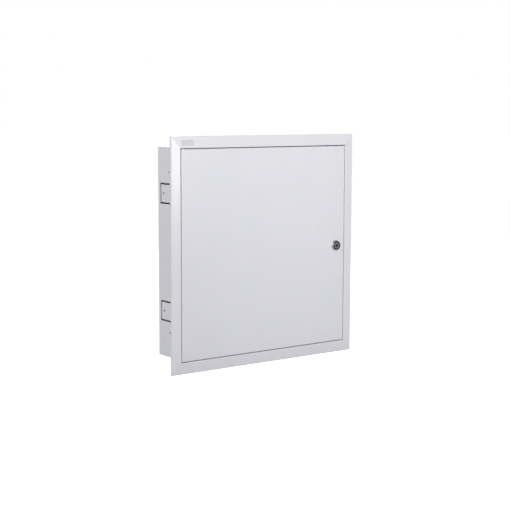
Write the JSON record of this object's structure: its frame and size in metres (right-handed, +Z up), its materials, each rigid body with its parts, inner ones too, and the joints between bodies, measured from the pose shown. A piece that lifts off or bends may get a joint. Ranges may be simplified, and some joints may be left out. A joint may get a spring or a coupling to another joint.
{
  "type": "flush-mounted steel distribution enclosure",
  "caption": "Flush steel wall enclosure: folded back box with anchor claws, mitred trim frame, hinged inset door with key cam lock, and rails with slotted covers for modular devices.",
  "frame": {"origin": "centre of the four wall holes, on the outer back face of the box", "axes": "+Y into the wall, -Y out of the front, +Z up, +X towards the lock side"},
  "size_m": [0.588, 0.122, 0.6],
  "materials": {
    "powder_coat": "fine satin powder coat",
    "cover_coat": "satin powder coat",
    "galvanised_sheet": "galvanised sheet",
    "rail_steel": "zinc-plated, passivated",
    "zinc_fastener": "bright zinc",
    "chrome": "bright chrome plate",
    "lock_steel": "turned steel",
    "brass": "bright brass",
    "grey_plastic": "matt",
    "grey_rubber": "matt",
    "black_nylon": "matt",
    "black_rubber": "matt",
    "green_plastic": "semi-gloss",
    "blue_plastic": "semi-gloss"
  },
  "bodies": {
    "enclosure": {"back_box": "powder_coat", "box_rim": "powder_coat", "top_entry_plate": "galvanised_sheet", "bottom_entry_plate": "galvanised_sheet", "top_grommets": "grey_rubber", "bottom_grommets": "grey_rubber", "entry_plate_screws": "zinc_fastener", "frame_left_stile": "powder_coat", "frame_right_stile": "powder_coat", "frame_top_rail": "powder_coat", "frame_bottom_rail": "powder_coat", "frame_corner_gussets": "galvanised_sheet", "frame_screws": "zinc_fastener", "frame_clip_nuts": "zinc_fastener", "upper_hinge_bush": "black_nylon", "lower_hinge_bush": "black_nylon", "door_buffers": "black_rubber", "chassis_left_upright": "galvanised_sheet", "chassis_right_upright": "galvanised_sheet", "chassis_studs": "zinc_fastener", "chassis_nuts": "zinc_fastener", "din_rail_1": "rail_steel", "din_rail_2": "rail_steel", "din_rail_3": "rail_steel", "din_rail_4": "rail_steel", "rail_screws": "zinc_fastener", "cover_row_1": "cover_coat", "cover_row_2": "cover_coat", "cover_row_3": "cover_coat", "cover_row_4": "cover_coat", "cover_screws": "grey_plastic", "earth_bar": "brass", "neutral_bar": "brass", "earth_bar_holders": "green_plastic", "neutral_bar_holders": "blue_plastic", "earth_bar_screws": "zinc_fastener", "neutral_bar_screws": "zinc_fastener", "earth_stud": "brass", "earth_stud_nuts": "brass"},
    "door": {"door_leaf": "powder_coat", "door_left_stiffener": "powder_coat", "door_right_stiffener": "powder_coat", "upper_hinge_plate": "galvanised_sheet", "lower_hinge_plate": "galvanised_sheet", "upper_hinge_pin": "zinc_fastener", "lower_hinge_pin": "zinc_fastener", "door_earth_stud": "brass", "lock_body": "chrome", "lock_nut": "zinc_fastener"},
    "lock_rotor": {"lock_cylinder": "lock_steel", "lock_cam": "zinc_fastener", "cam_screw": "zinc_fastener"}
  },
  "joints": [
    {"name": "door_hinge", "type": "hinge", "parent": "enclosure", "child": "door", "pos_m": [-0.2559, -0.109, -0.003], "axis": [0, 0, -1], "range_deg": [0, 115]},
    {"name": "lock_turn", "type": "hinge", "parent": "door", "child": "lock_rotor", "pos_m": [0.2354, -0.115, -0.006], "axis": [0, 1, 0], "range_deg": [0, 90]}
  ]
}
